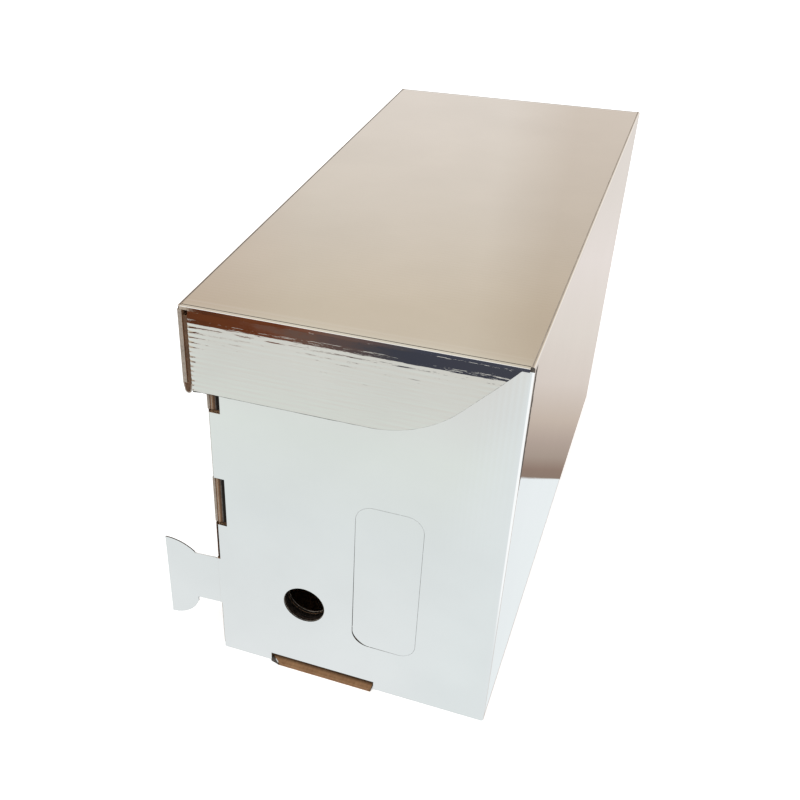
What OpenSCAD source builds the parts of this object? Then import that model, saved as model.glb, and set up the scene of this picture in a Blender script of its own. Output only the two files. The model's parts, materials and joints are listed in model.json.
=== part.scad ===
// Folded corrugated-board nuc box for six hanging bee frames, with a lid hinged on one long wall.
// Millimetres, +Z up. The entrance end is -Y and the hinge side is +X.
// The origin is the middle of the underside.

/* [Box] */
// Outside width over the two long walls
box_w = 216.5; // [200:0.5:260]
// Outside length over the two end panels
box_l = 492; // [440:1:560]
// Height from the ground to the top of the lid
box_h = 311; // [300:1:350]
// Thickness of the board
board_t = 3; // [2.4:0.1:3.6]
// Gap between layers that lie together
layer_gap = 0.2; // [0.1:0.05:0.4]
// Gap between pieces that move past each other
run_gap = 0.4; // [0.3:0.05:0.8]
// Drop of the frame rests below the top of the lid
rest_drop = 25; // [19:1:35]

/* [End panels] */
// Distance of an end panel's free edge from the outside of the left wall
panel_inset = 2; // [1:0.1:4]
// Height of the notches in the free edge
notch_h = 43.5; // [30:0.5:60]
// Depth of those notches
notch_d = 8.3; // [5:0.1:10]
// Height of the lower notch's middle
notch_low_z = 151.5; // [145:0.5:165]
// Height of the upper notch's middle
notch_high_z = 251.5; // [235:0.5:260]
// Width of the notch in the foot of an end panel
foot_notch_w = 86; // [60:0.5:110]
// Height of the foot notch
foot_notch_h = 8; // [6:0.1:10]
// Place of the foot notch's middle across the box
foot_notch_x = -22; // [-35:0.5:0]
// How far the left wall's locating tabs stand out of an end panel
tab_out = 1.2; // [0.4:0.1:1.5]
// How far the floor's locating tab stands out of an end panel
foot_tab_out = 3.4; // [0.4:0.1:4]
// Play beside a locating tab in its notch
tab_play = 1.2; // [0.6:0.1:2]
// Chamfer on the left corner of the floor's tab
foot_tab_chamfer = 6; // [1:0.1:6]

/* [Entrance and vent] */
// Diameter of the entrance hole
entrance_d = 33; // [25:0.5:40]
// Place of the entrance across the box
entrance_x = -36.75; // [-45:0.25:-32]
// Height of the entrance's middle
entrance_z = 70.4; // [60:0.2:80]
// Width of the vent knock-out's opening
vent_w = 49.5; // [44:0.5:56]
// Height of that opening
vent_h = 134; // [110:1:150]
// Corner radius of that opening
vent_r = 13; // [8:0.5:20]
// Place of the vent across the box
vent_x = 26.75; // [24:0.25:34]
// Height of the vent's middle
vent_z = 112; // [100:0.5:125]
// Width of the die-cut line round the knock-out
vent_cut = 0.45; // [0.35:0.05:0.8]
// How far the board behind the vent reaches in past its opening
vent_lip = 4; // [2:0.5:8]
// Thickness of the bee-proof grille
grille_t = 1.6; // [1:0.1:2.4]
// How far the grille reaches past the opening in the board
grille_lap = 8; // [5:0.5:10]
// Height of a slot in the grille
grille_slot_h = 3; // [2.4:0.1:3.4]
// Bar between two slots of the grille
grille_bar = 2; // [1.4:0.1:3]

/* [Lock tongues] */
// Height of the middle of a lock tongue's neck
tongue_z = 72.4; // [68:0.1:78]
// Length of a tongue from its crease
tongue_len = 42.4; // [38:0.1:46]
// Length of its neck
tongue_neck_len = 18.5; // [16:0.1:22]
// Height of its neck
tongue_neck_h = 46; // [40:0.1:52]
// Reach of its head above the neck's middle
tongue_head_up = 33.5; // [30:0.1:40]
// Reach of its head below the neck's middle
tongue_head_down = 45.1; // [36:0.1:50]
// Radius on the upper back of the head
tongue_upper_r = 35; // [31:0.5:45]
// Radius on the lower back of the head
tongue_lower_r = 25; // [23:0.5:31]
// Angle by which the entrance end's tongue stands forward of its panel
tongue_bend = 3; // [0:1:30]
// Play round a tongue's neck in the wall's slot
slot_play = 2.5; // [1.5:0.1:4]

/* [Inner ends] */
// Width of a lock tab at the foot of an inner end wall
lock_tab_w = 30; // [20:1:45]
// Place of the lock tabs either side of the middle
lock_tab_x = 60; // [45:1:75]

/* [Lid] */
// Drop of the lid's end flaps
flap_drop = 63; // [50:0.5:80]
// Gap between an end panel's top edge and the flap in front of it
flap_top_gap = 0.4; // [0.35:0.05:2]
// Height over which an end flap bows back to the lid's edge
flap_bow_h = 15; // [10:0.5:20]
// Radius of that bow
flap_bow_r = 45; // [35:1:80]
// Run of an end flap's raked end
flap_rake = 59; // [45:1:95]
// Radius between the raked end and the lower edge
flap_rake_r = 80; // [30:1:90]
// Distance of the raked end from the hinge wall's outside
flap_hinge_inset = 4.3; // [3:0.1:12]
// Drop of the lid's side skirt
skirt_drop = 66.5; // [50:0.5:80]
// Space between the left wall and the skirt
skirt_gap = 7.3; // [1:0.1:9]
// Space between the skirt's two plies
skirt_ply_gap = 1; // [0.4:0.1:2]
// How far the skirt's inner ply stops short of the lid
lining_short = 4; // [2:0.5:20]
// Height over which the skirt's plies draw together at its foot
skirt_fold_h = 8; // [4:0.5:12]
// Width of the fold at the skirt's foot
skirt_foot_w = 5.1; // [2:0.1:6]

/* [Hidden] */
$fn = 96;
// Share of the board's thickness that a fold is rounded by
fold_r_share = 0.9;
fold_r = fold_r_share * board_t;
overrun = board_t;
layer_step = board_t + layer_gap;
left_x = -box_w / 2;
right_x = box_w / 2;
end_y = box_l / 2;
lid_under = box_h - board_t;
wall_top = lid_under - run_gap;
rest_z = box_h - rest_drop;
flap_top = lid_under - layer_gap;
panel_left = left_x + panel_inset;
panel_right = right_x - board_t;
inner_left = left_x + board_t + layer_gap;
inner_right = right_x - board_t - layer_gap;
// Depths of the layers of an end wall, from the outside of its panel
leaf_d = layer_step;
corner_d = leaf_d + layer_step;
roll_d = corner_d + layer_step;
end_depth = roll_d + board_t;
// Creases of the lock tongues
crease_x = left_x - run_gap;
crease_y = end_y - board_t;
// The end flaps of the lid: how far forward of the panel they hang and where their bow starts
flap_bow_z = box_h - flap_bow_h;
flap_inner_r = flap_bow_r - board_t;
bow_sag = flap_inner_r - sqrt(pow(flap_inner_r, 2) - pow(wall_top - flap_bow_z, 2));
flap_stand = max(flap_top_gap + bow_sag, tab_out + run_gap);
flap_face = flap_stand + board_t;
bow_centre = flap_face - flap_bow_r;
lid_over = bow_centre + sqrt(pow(flap_bow_r, 2) - pow(flap_top - flap_bow_z, 2));
lid_y = end_y + lid_over;
flap_low = box_h - flap_drop;
skirt_w = 2 * board_t + skirt_ply_gap;
skirt_x = left_x - skirt_gap - skirt_w;
skirt_low = box_h - skirt_drop;
skirt_head = skirt_low + skirt_fold_h;
// The vent's frame in the inner boards and the grille that covers it
vent_inner_w = vent_w - 2 * vent_lip;
vent_inner_h = vent_h - 2 * vent_lip;
vent_inner_r = vent_r - vent_lip;
grille_w = vent_inner_w + 2 * grille_lap;
grille_h = vent_inner_h + 2 * grille_lap;
grille_pitch = grille_slot_h + grille_bar;
grille_rows = floor((vent_inner_h - 2 * vent_inner_r) / grille_pitch);
corner_flap_end = vent_x - grille_w / 2 - run_gap;
foot_tab_w = foot_notch_w - 2 * tab_play;

silver = [0.85, 0.87, 0.87];
champagne = [0.83, 0.79, 0.73];
kraft = [0.63, 0.47, 0.32];
gauze = [0.45, 0.46, 0.47];

// Box between two corners
module slab(low, high) {
  translate(low) cube(high - low);
}

// Rectangle between two corners
module plate(low, high) {
  translate(low) square(high - low);
}

// What a round of radius r takes off a corner that points to +X and +Y
module corner_waste(r) {
  translate([-r, -r]) difference() {
    square(r + overrun);
    circle(r);
  }
}

// Rectangle about its middle with round corners
module round_plate(w, h, r) {
  square([w - 2 * r, h], center = true);
  square([w, h - 2 * r], center = true);
  for (x = [-1, 1], y = [-1, 1])
    translate([x * (w / 2 - r), y * (h / 2 - r)]) circle(r);
}

// Outline in X and Z, made a board whose outside lies the given depth inside the front panel's face
module end_board(depth, thickness = board_t) {
  translate([0, depth + thickness - end_y, 0]) rotate([90, 0, 0]) linear_extrude(thickness) children();
}

// Outline in Y and Z, made a board from the given X
module side_board(x) {
  translate([x, 0, 0]) rotate([90, 0, 90]) linear_extrude(board_t) children();
}

// Outline in X and Z, run along the whole length
module along_length(length) {
  rotate([90, 0, 0]) linear_extrude(length, center = true) children();
}

// Outline in Y and Z, run between two places across the box
module across(from_x, to_x) {
  translate([from_x, 0, 0]) rotate([90, 0, 90]) linear_extrude(to_x - from_x) children();
}

module rear() {
  mirror([0, 1, 0]) children();
}

module both_ends() {
  children();
  rear() children();
}

module entrance_outline() {
  translate([entrance_x, entrance_z]) circle(d = entrance_d);
}

module vent_outline(w, h, r) {
  translate([vent_x, vent_z]) round_plate(w, h, r);
}

// Heights of the two notches in a panel's free edge, with the tabs that stand in them
module at_notches() {
  for (z = [notch_low_z, notch_high_z]) translate([0, z]) children();
}

// Outer end panel with its notches and the root of its lock tongue
module panel_outline() {
  difference() {
    union() {
      plate([panel_left, layer_gap], [panel_right, wall_top]);
      plate([crease_x, tongue_z - tongue_neck_h / 2], [panel_left + overrun, tongue_z + tongue_neck_h / 2]);
    }
    at_notches() plate([panel_left - overrun, -notch_h / 2], [panel_left + notch_d, notch_h / 2]);
    translate([foot_notch_x, 0])
      plate([-foot_notch_w / 2, -overrun], [foot_notch_w / 2, foot_notch_h]);
  }
}

module front_panel() {
  color(silver) end_board(0) difference() {
    panel_outline();
    entrance_outline();
    vent_outline(vent_w, vent_h, vent_r);
  }
}

module rear_panel() {
  color(silver) rear() end_board(0) panel_outline();
}

module vent_knockout() {
  color(silver) end_board(0)
    vent_outline(vent_w - 2 * vent_cut, vent_h - 2 * vent_cut, vent_r - vent_cut);
}

// Bee-proof grille glued behind the vent's opening in the inner leaf
module vent_grille() {
  color(gauze) end_board(leaf_d + board_t, grille_t) translate([vent_x, vent_z]) difference() {
    square([grille_w, grille_h], center = true);
    for (row = [0 : grille_rows - 1])
      translate([0, (row - (grille_rows - 1) / 2) * grille_pitch])
        square([vent_inner_w, grille_slot_h], center = true);
  }
}

// Plan of the floor with its locating tab and the slots for the inner end walls' lock tabs, at one end
module floor_tab_outline() {
  tab_y = -end_y - foot_tab_out;
  half = foot_tab_w / 2;
  translate([foot_notch_x, 0]) polygon([
    [-half, leaf_d - end_y + overrun],
    [-half, tab_y + foot_tab_chamfer],
    [foot_tab_chamfer - half, tab_y],
    [half, tab_y],
    [half, leaf_d - end_y + overrun]
  ]);
}

module floor_slots_outline() {
  for (side = [-1, 1])
    translate([side * lock_tab_x - lock_tab_w / 2, roll_d - end_y])
      plate([-run_gap, -layer_gap], [lock_tab_w + run_gap, board_t + layer_gap]);
}

module floor_panel() {
  color(kraft) difference() {
    union() {
      slab([left_x + board_t, leaf_d - end_y, 0], [right_x - board_t, end_y - leaf_d, board_t]);
      both_ends() linear_extrude(board_t) floor_tab_outline();
    }
    translate([0, 0, -overrun]) both_ends() linear_extrude(board_t + 2 * overrun) floor_slots_outline();
  }
}

// Tabs and tongue slot at the front end of the left wall
module left_wall_tabs() {
  tab_h = notch_h - 2 * tab_play;
  at_notches() plate([-end_y - tab_out, -tab_h / 2], [leaf_d - end_y + overrun, tab_h / 2]);
}

module left_wall_slot() {
  slot_h = tongue_neck_h + 2 * slot_play;
  translate([tongue_neck_len - crease_y, tongue_z])
    plate([-slot_play, -slot_h / 2], [board_t, slot_h / 2]);
}

module left_wall() {
  color(silver) intersection() {
    side_board(left_x) difference() {
      union() {
        plate([leaf_d - end_y, 0], [end_y - leaf_d, wall_top]);
        left_wall_tabs();
        mirror([1, 0]) left_wall_tabs();
      }
      left_wall_slot();
      mirror([1, 0]) left_wall_slot();
    }
    along_length(box_l + 2 * overrun) difference() {
      plate([left_x, 0], [left_x + board_t, wall_top]);
      translate([left_x, 0]) rotate(180) corner_waste(fold_r);
    }
  }
}

module right_wall() {
  color(champagne) intersection() {
    linear_extrude(wall_top) difference() {
      plate([right_x - board_t, -end_y], [right_x, end_y]);
      translate([right_x, end_y]) corner_waste(fold_r);
      translate([right_x, -end_y]) rotate(-90) corner_waste(fold_r);
    }
    along_length(box_l) difference() {
      plate([right_x - board_t, 0], [right_x, wall_top]);
      translate([right_x, 0]) rotate(-90) corner_waste(fold_r);
    }
  }
}

// Inner leaf, folded up from the floor, with the gap that its locating tab was cut from
module leaf_outline() {
  difference() {
    plate([inner_left, board_t], [inner_right, rest_z - board_t]);
    translate([foot_notch_x, 0])
      plate([-foot_notch_w / 2, 0], [foot_notch_w / 2, foot_notch_h]);
  }
}

// Corner flap of the left wall, held between the two leaves
module corner_flap_outline() {
  plate([left_x + board_t, board_t + layer_gap], [corner_flap_end, rest_z - board_t - layer_gap]);
}

// Leaf that comes down inside from the frame rest and locks into the floor
module rollover_outline() {
  plate([inner_left, board_t], [inner_right, rest_z - board_t]);
  for (side = [-1, 1])
    translate([side * lock_tab_x - lock_tab_w / 2, 0])
      plate([0, layer_gap], [lock_tab_w, board_t + overrun]);
}

module front_holes() {
  entrance_outline();
  vent_outline(vent_inner_w, vent_inner_h, vent_inner_r);
}

module front_inner_leaf() {
  color(silver) end_board(leaf_d) difference() {
    leaf_outline();
    front_holes();
  }
}

module rear_inner_leaf() {
  color(silver) rear() end_board(leaf_d) leaf_outline();
}

module front_corner_flap() {
  color(kraft) end_board(corner_d) difference() {
    corner_flap_outline();
    entrance_outline();
  }
}

module rear_corner_flap() {
  color(kraft) rear() end_board(corner_d) corner_flap_outline();
}

module front_rollover_leaf() {
  color(silver) end_board(roll_d) difference() {
    rollover_outline();
    front_holes();
  }
}

module rear_rollover_leaf() {
  color(silver) rear() end_board(roll_d) rollover_outline();
}

// Fold over the top of an inner end wall, which carries the lugs of the frames
module frame_rest() {
  across(inner_left, inner_right) difference() {
    plate([leaf_d - end_y, rest_z - board_t], [end_depth - end_y, rest_z]);
    translate([end_depth - end_y, rest_z]) corner_waste(fold_r);
    translate([leaf_d - end_y, rest_z]) rotate(90) corner_waste(fold_r);
  }
}

module front_frame_rest() {
  color(silver) frame_rest();
}

module rear_frame_rest() {
  color(silver) rear() frame_rest();
}

// Lock tongue in X and Z, from its crease out to the left
module tongue_outline(root) {
  head_x = crease_x - tongue_neck_len;
  tip_x = crease_x - tongue_len;
  translate([0, tongue_z]) {
    plate([tip_x, -tongue_neck_h / 2], [crease_x + root, tongue_neck_h / 2]);
    intersection() {
      plate([tip_x, 0], [head_x, tongue_head_up]);
      translate([tip_x, tongue_head_up - tongue_upper_r]) circle(tongue_upper_r);
    }
    intersection() {
      plate([tip_x, -tongue_head_down], [head_x, 0]);
      translate([tip_x, tongue_lower_r - tongue_head_down]) circle(tongue_lower_r);
    }
  }
}

// The front tongue stands as bent out, with its root mitred against the panel
module front_lock_tongue() {
  color(silver) intersection() {
    translate([crease_x, -crease_y, 0]) rotate(tongue_bend) translate([-crease_x, crease_y, 0])
      end_board(0) tongue_outline(overrun);
    slab([crease_x - 2 * tongue_len, -end_y - tongue_len, 0], [crease_x - layer_gap, end_y, box_h]);
  }
}

// The rear tongue lies folded along the left wall
module rear_lock_tongue() {
  color(silver) rear()
    translate([crease_x, -crease_y, 0]) rotate(-90) translate([-crease_x, crease_y, 0])
      end_board(0) tongue_outline(-layer_gap);
}

module lid_top() {
  color(champagne) intersection() {
    along_length(2 * lid_y) difference() {
      plate([skirt_x, lid_under], [right_x, box_h]);
      translate([right_x, box_h]) corner_waste(fold_r);
      translate([skirt_x, box_h]) rotate(90) corner_waste(fold_r);
    }
    across(skirt_x, right_x) difference() {
      plate([-lid_y, lid_under], [lid_y, box_h]);
      translate([lid_y, box_h]) corner_waste(fold_r);
      translate([-lid_y, box_h]) rotate(90) corner_waste(fold_r);
    }
  }
}

// End flap of the lid in X and Z, with its raked end toward the hinge
module flap_outline() {
  rake = atan2(flap_drop, flap_rake);
  left_end = skirt_x + skirt_w + run_gap;
  top_x = right_x - flap_hinge_inset;
  foot_x = top_x - flap_rake;
  tangent = flap_rake_r * tan(rake / 2);
  difference() {
    polygon([[left_end, flap_low], [foot_x, flap_low], [top_x, box_h], [left_end, box_h]]);
    difference() {
      polygon([
        [foot_x - tangent, flap_low - overrun],
        [foot_x + tangent, flap_low - overrun],
        [foot_x + tangent * cos(rake), flap_low + tangent * sin(rake)],
        [foot_x - tangent, flap_low + flap_rake_r]
      ]);
      translate([foot_x - tangent, flap_low + flap_rake_r]) circle(flap_rake_r, $fn = 4 * $fn);
    }
  }
}

// Section of an end flap in Y and Z: upright below, bowed back to the lid's edge above
module flap_section() {
  plate([-end_y - flap_face, flap_low], [-end_y - flap_stand, flap_bow_z]);
  intersection() {
    translate([-end_y - bow_centre, flap_bow_z]) difference() {
      circle(flap_bow_r, $fn = 4 * $fn);
      circle(flap_inner_r, $fn = 4 * $fn);
    }
    plate([-end_y - flap_face - overrun, flap_bow_z], [-end_y - bow_centre, flap_top]);
  }
}

module end_flap() {
  intersection() {
    across(skirt_x, right_x) flap_section();
    translate([0, -end_y, 0]) along_length(2 * (flap_face + board_t)) flap_outline();
  }
}

module lid_front_flap() {
  color(silver) end_flap();
}

module lid_rear_flap() {
  color(silver) rear() end_flap();
}

module lid_skirt() {
  color(silver) slab([skirt_x, -lid_y, skirt_head], [skirt_x + board_t, lid_y, flap_top]);
}

// The two plies draw together to a round fold
module lid_skirt_fold() {
  foot_r = skirt_foot_w / 2;
  color(silver) along_length(2 * lid_y) translate([skirt_x + skirt_w / 2, skirt_low + foot_r]) {
    circle(foot_r);
    polygon([
      [-foot_r, 0],
      [foot_r, 0],
      [skirt_w / 2, skirt_fold_h - foot_r],
      [-skirt_w / 2, skirt_fold_h - foot_r]
    ]);
  }
}

module lid_skirt_lining() {
  color(silver) slab(
    [skirt_x + skirt_w - board_t, -lid_y, skirt_head],
    [skirt_x + skirt_w, lid_y, flap_top - lining_short]
  );
}

floor_panel();
left_wall();
right_wall();
front_panel();
rear_panel();
front_inner_leaf();
front_corner_flap();
front_rollover_leaf();
front_frame_rest();
rear_inner_leaf();
rear_corner_flap();
rear_rollover_leaf();
rear_frame_rest();
vent_knockout();
vent_grille();
front_lock_tongue();
rear_lock_tongue();
lid_top();
lid_front_flap();
lid_rear_flap();
lid_skirt();
lid_skirt_fold();
lid_skirt_lining();
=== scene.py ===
"""Nuc box of corrugated board faced with metallised film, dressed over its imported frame."""

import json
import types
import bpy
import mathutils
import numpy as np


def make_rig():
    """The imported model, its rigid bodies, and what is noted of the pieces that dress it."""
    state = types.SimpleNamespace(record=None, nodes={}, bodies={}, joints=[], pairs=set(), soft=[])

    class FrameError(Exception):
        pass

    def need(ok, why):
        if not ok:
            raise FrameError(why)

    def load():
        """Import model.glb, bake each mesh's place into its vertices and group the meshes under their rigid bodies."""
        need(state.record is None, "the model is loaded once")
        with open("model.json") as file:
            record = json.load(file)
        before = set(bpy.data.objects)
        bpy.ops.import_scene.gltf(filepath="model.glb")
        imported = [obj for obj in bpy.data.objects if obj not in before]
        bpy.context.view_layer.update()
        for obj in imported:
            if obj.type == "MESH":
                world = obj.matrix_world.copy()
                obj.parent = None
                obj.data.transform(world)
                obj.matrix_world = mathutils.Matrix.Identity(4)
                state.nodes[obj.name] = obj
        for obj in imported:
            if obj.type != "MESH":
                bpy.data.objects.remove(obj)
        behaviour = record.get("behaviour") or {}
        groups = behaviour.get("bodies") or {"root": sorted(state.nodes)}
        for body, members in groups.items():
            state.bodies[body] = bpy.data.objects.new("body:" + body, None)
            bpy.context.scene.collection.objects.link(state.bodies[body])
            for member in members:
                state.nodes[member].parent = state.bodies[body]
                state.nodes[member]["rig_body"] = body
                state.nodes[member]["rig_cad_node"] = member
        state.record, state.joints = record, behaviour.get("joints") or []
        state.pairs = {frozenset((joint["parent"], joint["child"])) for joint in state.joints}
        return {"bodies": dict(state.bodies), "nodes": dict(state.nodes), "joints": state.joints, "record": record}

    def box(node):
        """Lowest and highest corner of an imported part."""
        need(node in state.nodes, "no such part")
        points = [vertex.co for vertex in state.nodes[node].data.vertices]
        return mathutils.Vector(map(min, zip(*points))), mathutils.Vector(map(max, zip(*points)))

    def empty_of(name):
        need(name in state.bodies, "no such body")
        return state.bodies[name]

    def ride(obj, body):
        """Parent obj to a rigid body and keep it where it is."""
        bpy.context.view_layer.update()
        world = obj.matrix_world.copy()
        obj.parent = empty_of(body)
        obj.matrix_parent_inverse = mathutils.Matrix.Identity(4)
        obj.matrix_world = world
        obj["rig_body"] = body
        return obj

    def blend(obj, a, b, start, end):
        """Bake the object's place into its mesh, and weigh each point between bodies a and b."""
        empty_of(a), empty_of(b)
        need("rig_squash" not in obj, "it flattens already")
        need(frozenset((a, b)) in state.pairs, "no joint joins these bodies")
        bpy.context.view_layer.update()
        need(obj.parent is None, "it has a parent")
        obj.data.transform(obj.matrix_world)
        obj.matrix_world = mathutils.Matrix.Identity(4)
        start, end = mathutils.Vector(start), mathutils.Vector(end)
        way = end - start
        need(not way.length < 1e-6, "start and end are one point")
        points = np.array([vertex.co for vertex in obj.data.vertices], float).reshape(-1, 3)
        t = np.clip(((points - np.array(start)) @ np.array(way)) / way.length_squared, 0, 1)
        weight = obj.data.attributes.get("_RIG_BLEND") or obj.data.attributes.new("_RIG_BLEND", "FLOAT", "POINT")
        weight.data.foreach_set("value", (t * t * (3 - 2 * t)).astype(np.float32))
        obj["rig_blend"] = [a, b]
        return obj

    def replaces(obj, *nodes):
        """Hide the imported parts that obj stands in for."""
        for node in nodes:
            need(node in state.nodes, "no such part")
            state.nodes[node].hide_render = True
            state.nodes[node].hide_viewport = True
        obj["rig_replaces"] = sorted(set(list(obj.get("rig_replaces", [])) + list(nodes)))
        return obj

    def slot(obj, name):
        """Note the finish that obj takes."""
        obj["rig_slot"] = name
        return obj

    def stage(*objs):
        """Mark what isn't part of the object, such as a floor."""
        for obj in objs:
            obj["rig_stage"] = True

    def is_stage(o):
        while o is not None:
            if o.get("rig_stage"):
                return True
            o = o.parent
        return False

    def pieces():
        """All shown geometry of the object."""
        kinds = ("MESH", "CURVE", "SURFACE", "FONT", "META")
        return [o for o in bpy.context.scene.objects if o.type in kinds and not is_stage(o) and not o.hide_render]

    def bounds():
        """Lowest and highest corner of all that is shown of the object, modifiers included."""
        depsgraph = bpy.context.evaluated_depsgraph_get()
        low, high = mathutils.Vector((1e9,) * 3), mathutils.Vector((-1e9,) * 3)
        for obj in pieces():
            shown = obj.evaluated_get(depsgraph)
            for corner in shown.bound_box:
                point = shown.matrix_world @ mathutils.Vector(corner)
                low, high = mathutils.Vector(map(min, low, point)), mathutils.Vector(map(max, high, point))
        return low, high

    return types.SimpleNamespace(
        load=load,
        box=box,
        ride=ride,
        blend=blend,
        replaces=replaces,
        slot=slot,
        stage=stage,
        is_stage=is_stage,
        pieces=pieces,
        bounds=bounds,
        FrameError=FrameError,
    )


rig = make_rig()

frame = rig.load()
cad_low, cad_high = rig.bounds()

import json
import math
from collections import namedtuple

import bmesh
import bpy
from mathutils import Matrix, Vector, noise as field

MM = 0.001
X, Y, Z = Vector((1, 0, 0)), Vector((0, 1, 0)), Vector((0, 0, 1))

# The box, read from the frame
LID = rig.box("lid_top")
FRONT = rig.box("front_panel")
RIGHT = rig.box("right_wall")
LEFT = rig.box("left_wall")
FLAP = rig.box("lid_front_flap")
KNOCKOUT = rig.box("vent_knockout")
JOINTS = {j["name"]: j for j in frame["joints"]}
ENDS = ((-1, "front"), (1, "rear"))
BOARD = LID[1].z - LID[0].z
FOLD_R = 0.9 * BOARD
END_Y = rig.box("rear_panel")[1].y

# The board: two liners and a fluted sheet between them
LINER = 0.36 * MM
MEDIUM = 0.28 * MM
PITCH = 3.7 * MM
LINES_PER_FLUTE = 6

# Play between sheets, how far a cover stands off a cut edge, what counts as on a line, and as one point
TOUCH = 0.01 * MM
PROUD = 0.02 * MM
NEAR = 0.1 * MM
MERGE = 2e-6

# The bow at the head of the lid's end flaps
BOW_R = 45 * MM
BOW_Z = 296 * MM


# Materials

class Tree:
    """Nodes of a material or of the world. Most methods add a node and give its output."""

    def __init__(self, owner):
        owner.use_nodes = True
        self.nodes, self.links = owner.node_tree.nodes, owner.node_tree.links

    def new(self, kind):
        return self.nodes.new("ShaderNode" + kind)

    def put(self, value, socket):
        """Gives a socket an output, a number or a colour."""
        if isinstance(value, (int, float)):
            socket.default_value = value
        elif isinstance(value, tuple):
            socket.default_value = (*value, 1)
        else:
            self.links.new(value, socket)

    def feed(self, made, *values):
        """Puts values into a node's first sockets and gives its first output."""
        for socket, value in zip(made.inputs, values):
            self.put(value, socket)
        return made.outputs[0]

    def coordinates(self, kind):
        return self.new("TexCoord").outputs[kind]

    def rays(self):
        return self.new("LightPath").outputs

    def axes(self, vector):
        """X, Y and Z of a vector."""
        made = self.new("SeparateXYZ")
        self.feed(made, vector)
        return tuple(made.outputs)

    def noise(self, scale, detail, stretch=(1, 1, 1)):
        turn = self.new("Mapping")
        turn.inputs["Scale"].default_value = stretch
        made = self.new("TexNoise")
        self.put(scale, made.inputs["Scale"])
        self.put(detail, made.inputs["Detail"])
        return self.feed(made, self.feed(turn, self.coordinates("Object")))

    def ramp(self, value, stops):
        """Colour at a value, between stops of (value, colour)."""
        made = self.new("ValToRGB")
        band = made.color_ramp
        while len(band.elements) < len(stops):
            band.elements.new(0.5)
        for element, (place, colour) in zip(band.elements, stops):
            element.position = place
            element.color = (*colour, 1)
        return self.feed(made, value)

    def bump(self, height, distance, normal=None):
        made = self.new("Bump")
        self.put(distance, made.inputs["Distance"])
        self.put(height, made.inputs["Height"])
        if normal:
            self.put(normal, made.inputs["Normal"])
        return made.outputs["Normal"]

    def calc(self, operation, *values, clamp=False):
        made = self.new("Math")
        made.operation = operation
        made.use_clamp = clamp
        return self.feed(made, *values)

    def times(self, a, b):
        return self.calc("MULTIPLY", a, b)

    def tint(self, a, b):
        """Product of two colours."""
        made = self.new("VectorMath")
        made.operation = "MULTIPLY"
        return self.feed(made, a, b)

    def mix(self, factor, a, b):
        """Colour a where the factor is 0, b where it is 1."""
        made = self.new("Mix")
        made.data_type = "RGBA"
        self.put(factor, made.inputs["Factor"])
        for socket, value in zip([s for s in made.inputs if s.type == "RGBA"], (a, b)):
            self.put(value, socket)
        return next(s for s in made.outputs if s.type == "RGBA")

    def fade(self, value, low, high):
        """0 at low and before it, 1 at high and beyond it. Either may be the greater."""
        made = self.new("MapRange")
        made.interpolation_type = "SMOOTHSTEP"
        return self.feed(made, value, low, high)

    def shader(self, kind, colour):
        return self.feed(self.new(kind), colour)

    def choose(self, factor, a, b):
        """Shader a where the factor is 0, b where it is 1."""
        return self.feed(self.new("MixShader"), factor, a, b)


def new_material(name):
    made = bpy.data.materials.new(name)
    tree = Tree(made)
    return made, tree, tree.nodes["Principled BSDF"].inputs


def grey(value):
    return (value,) * 3


# The film's relief, from slow waves to grain: scale and detail of its noise, and depth
WAVES, DIMPLES, GRAIN = (8, 1, 0.22 * MM), (95, 2, 0.012 * MM), (620, 3, 0.003 * MM)
# How far stains shift its tone, and the streaks' stretch and that of the patches they come in
STAIN, STREAKS, PATCHES = 0.02, (55, 55, 640), (30, 30, 60)
# How much of bare board's tone comes from its fibres, the rest from clouds, and its finish
FIBRE_SHARE, KRAFT_ROUGH, KRAFT_SPECULAR = 0.55, 0.88, 0.25


def film_material(name, tone, streak=0):
    """Metallised film on board. streak is how deep the flutes' fine streaks along X are."""
    made, tree, shader = new_material(name)

    def layer(kind, below=None):
        scale, detail, depth = kind
        return tree.bump(tree.noise(scale, detail), depth, below)

    shader["Metallic"].default_value = 1
    stain, haze = tree.noise(14, 4), tree.noise(55, 5)
    dark, light = (tuple(c + shift for c in tone) for shift in (-STAIN, STAIN))
    tree.put(tree.ramp(stain, [(0.3, dark), (0.7, light)]), shader["Base Color"])
    tree.put(tree.ramp(haze, [(0.35, grey(0.02)), (0.75, grey(0.065))]), shader["Roughness"])
    relief = layer(WAVES)
    if streak:
        patch = tree.ramp(tree.noise(1, 2, PATCHES), [(0.38, grey(0.35)), (0.62, grey(1))])
        relief = tree.bump(tree.times(tree.noise(1, 3, STREAKS), patch), streak, relief)
    tree.put(layer(GRAIN, layer(DIMPLES, relief)), shader["Normal"])
    return made


def kraft_material(name, dark, light, relief, shade=None):
    """Bare board, with a relief in mm. shade: painted shade, as stops of (distance from the middle along Y, share of
    the tone left).
    """
    made, tree, shader = new_material(name)
    cloud, fibre = tree.noise(60, 6), tree.noise(700, 4, (1, 0.25, 1))
    both = tree.new("Mix")
    for value, socket in ((FIBRE_SHARE, "Factor"), (cloud, "A"), (fibre, "B")):
        tree.put(value, both.inputs[socket])
    tone = tree.ramp(both.outputs["Result"], [(0.3, dark), (0.7, light)])
    if shade:
        _, y, _ = tree.axes(tree.coordinates("Object"))
        tone = tree.tint(tone, tree.ramp(tree.calc("ABSOLUTE", y), [(d, grey(s)) for d, s in shade]))
    tree.put(tone, shader["Base Color"])
    shader["Roughness"].default_value = KRAFT_ROUGH
    shader["Specular IOR Level"].default_value = KRAFT_SPECULAR
    tree.put(tree.bump(fibre, relief * MM), shader["Normal"])
    return made


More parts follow.
